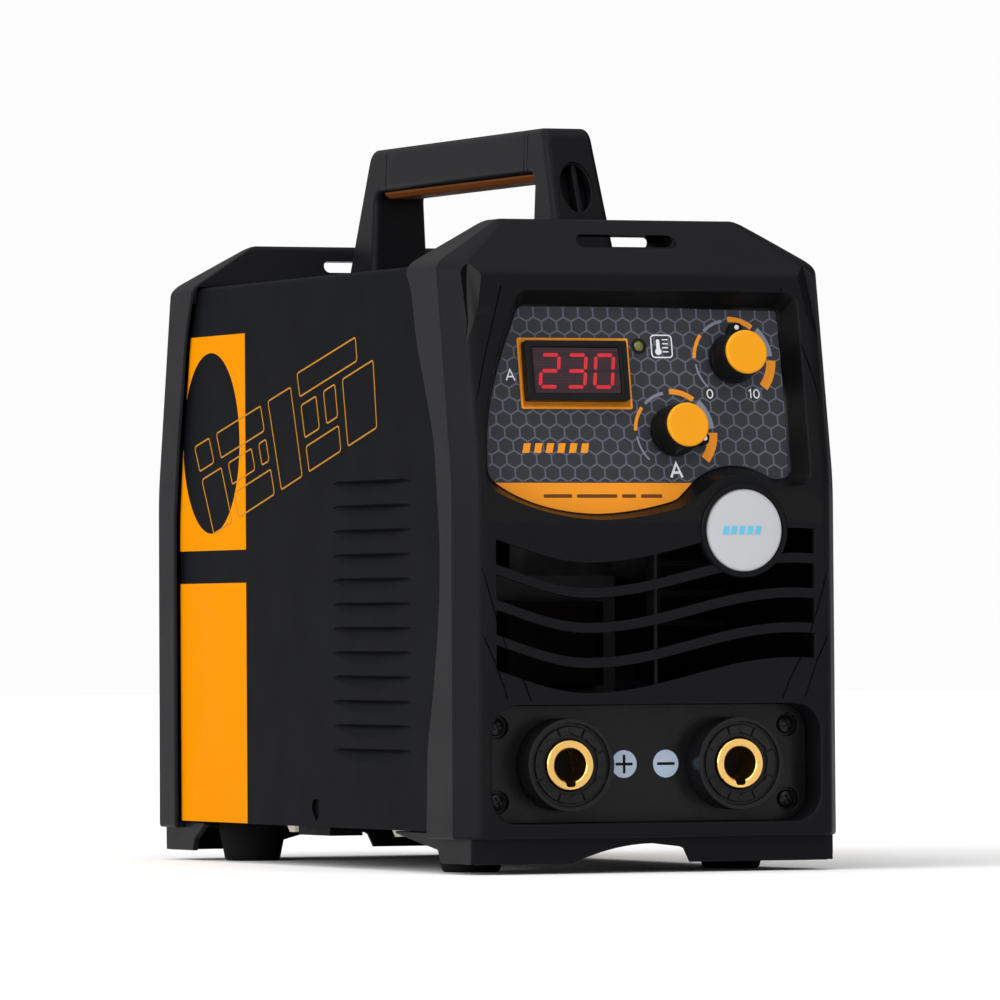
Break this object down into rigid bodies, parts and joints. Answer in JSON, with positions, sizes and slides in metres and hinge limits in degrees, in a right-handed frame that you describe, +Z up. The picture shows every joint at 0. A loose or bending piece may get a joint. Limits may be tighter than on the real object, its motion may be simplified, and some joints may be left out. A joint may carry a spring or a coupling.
{
  "type": "stick welding inverter",
  "caption": "Portable stick welding inverter with a leaning control panel, wavy air grille, two panel sockets, carrying handle and rubber feet.",
  "frame": {"origin": "on the floor, under the middle of the overall box", "axes": "+X to the right seen from the front, +Y from the front to the rear, +Z up"},
  "size_m": [0.1624, 0.3456, 0.293],
  "materials": {
    "cap_plastic": "fine-grained black moulding",
    "cover_sheet": "satin black powder coat",
    "orange_plastic": "satin moulded orange",
    "panel_film": "printed film, satin",
    "display_window": "smoked red window",
    "lamp_lens": "diffuse lens",
    "badge": "satin white disc",
    "socket_plastic": "glass-filled nylon",
    "brass": "turned brass",
    "zinc_steel": "zinc plated",
    "black_steel": "black oxide or paint",
    "rubber": "moulded rubber",
    "board": "solder mask on laminate",
    "aluminium": "extruded, clear",
    "ferrite": "sintered ferrite",
    "copper": "enamelled copper",
    "sleeve": "shrink sleeve",
    "fan_plastic": "moulded black"
  },
  "bodies": {
    "chassis": {"front_cap": "cap_plastic", "rear_cap": "cap_plastic", "display_bezel": "cap_plastic", "terminal_plate": "cap_plastic", "handle_shell": "cap_plastic", "cover_shell": "cover_sheet", "rear_panel": "cover_sheet", "base_tray": "black_steel", "fan_guard": "black_steel", "terminal_plate_screw_1": "black_steel", "terminal_plate_screw_2": "black_steel", "terminal_plate_screw_3": "black_steel", "terminal_plate_screw_4": "black_steel", "control_faceplate": "panel_film", "display_module": "display_window", "thermal_lamp": "lamp_lens", "control_board": "board", "power_board": "board", "fan_frame": "fan_plastic", "switch_housing": "fan_plastic", "cable_gland_body": "fan_plastic", "cable_gland_nut": "fan_plastic", "handle_grip_insert": "orange_plastic", "heatsink_left": "aluminium", "heatsink_right": "aluminium", "current_pot_body": "zinc_steel", "arc_pot_body": "zinc_steel", "handle_screw_front": "zinc_steel", "handle_screw_rear": "zinc_steel", "base_screw_front_left": "zinc_steel", "base_screw_front_right": "zinc_steel", "base_screw_rear_left": "zinc_steel", "base_screw_rear_right": "zinc_steel", "badge_disc": "badge", "socket_shell_plus": "socket_plastic", "socket_shell_minus": "socket_plastic", "socket_contact_plus": "brass", "socket_contact_minus": "brass", "busbar_plus": "copper", "busbar_minus": "copper", "transformer_winding": "copper", "output_choke": "copper", "foot_front_left": "rubber", "foot_front_right": "rubber", "foot_rear_left": "rubber", "foot_rear_right": "rubber", "transformer_core": "ferrite", "capacitor_1": "sleeve", "capacitor_2": "sleeve", "capacitor_3": "sleeve", "rectifier_module": "sleeve"},
    "current_knob_set": {"current_knob": "fan_plastic", "current_knob_cap": "orange_plastic", "current_pot_shaft": "aluminium"},
    "arc_knob_set": {"arc_knob": "fan_plastic", "arc_knob_cap": "orange_plastic", "arc_pot_shaft": "aluminium"},
    "fan_wheel": {"fan_rotor": "fan_plastic"},
    "mains_rocker": {"switch_rocker": "orange_plastic"}
  },
  "joints": [
    {"name": "current_turn", "type": "hinge", "parent": "chassis", "child": "current_knob_set", "pos_m": [0.0126, -0.15568, 0.17092], "axis": [0, 0.9848, -0.1736], "range_deg": [-240, 35]},
    {"name": "arc_turn", "type": "hinge", "parent": "chassis", "child": "arc_knob_set", "pos_m": [0.0399, -0.15066, 0.19938], "axis": [0, 0.9848, -0.1736], "range_deg": [-143, 132]},
    {"name": "fan_spin", "type": "hinge", "parent": "chassis", "child": "fan_wheel", "pos_m": [0, 0.14184, 0.102], "axis": [0, 1, 0], "continuous": true},
    {"name": "rocker_tilt", "type": "hinge", "parent": "chassis", "child": "mains_rocker", "pos_m": [-0.034, 0.15584, 0.186], "axis": [1, 0, 0], "range_deg": [-22, 0]}
  ]
}
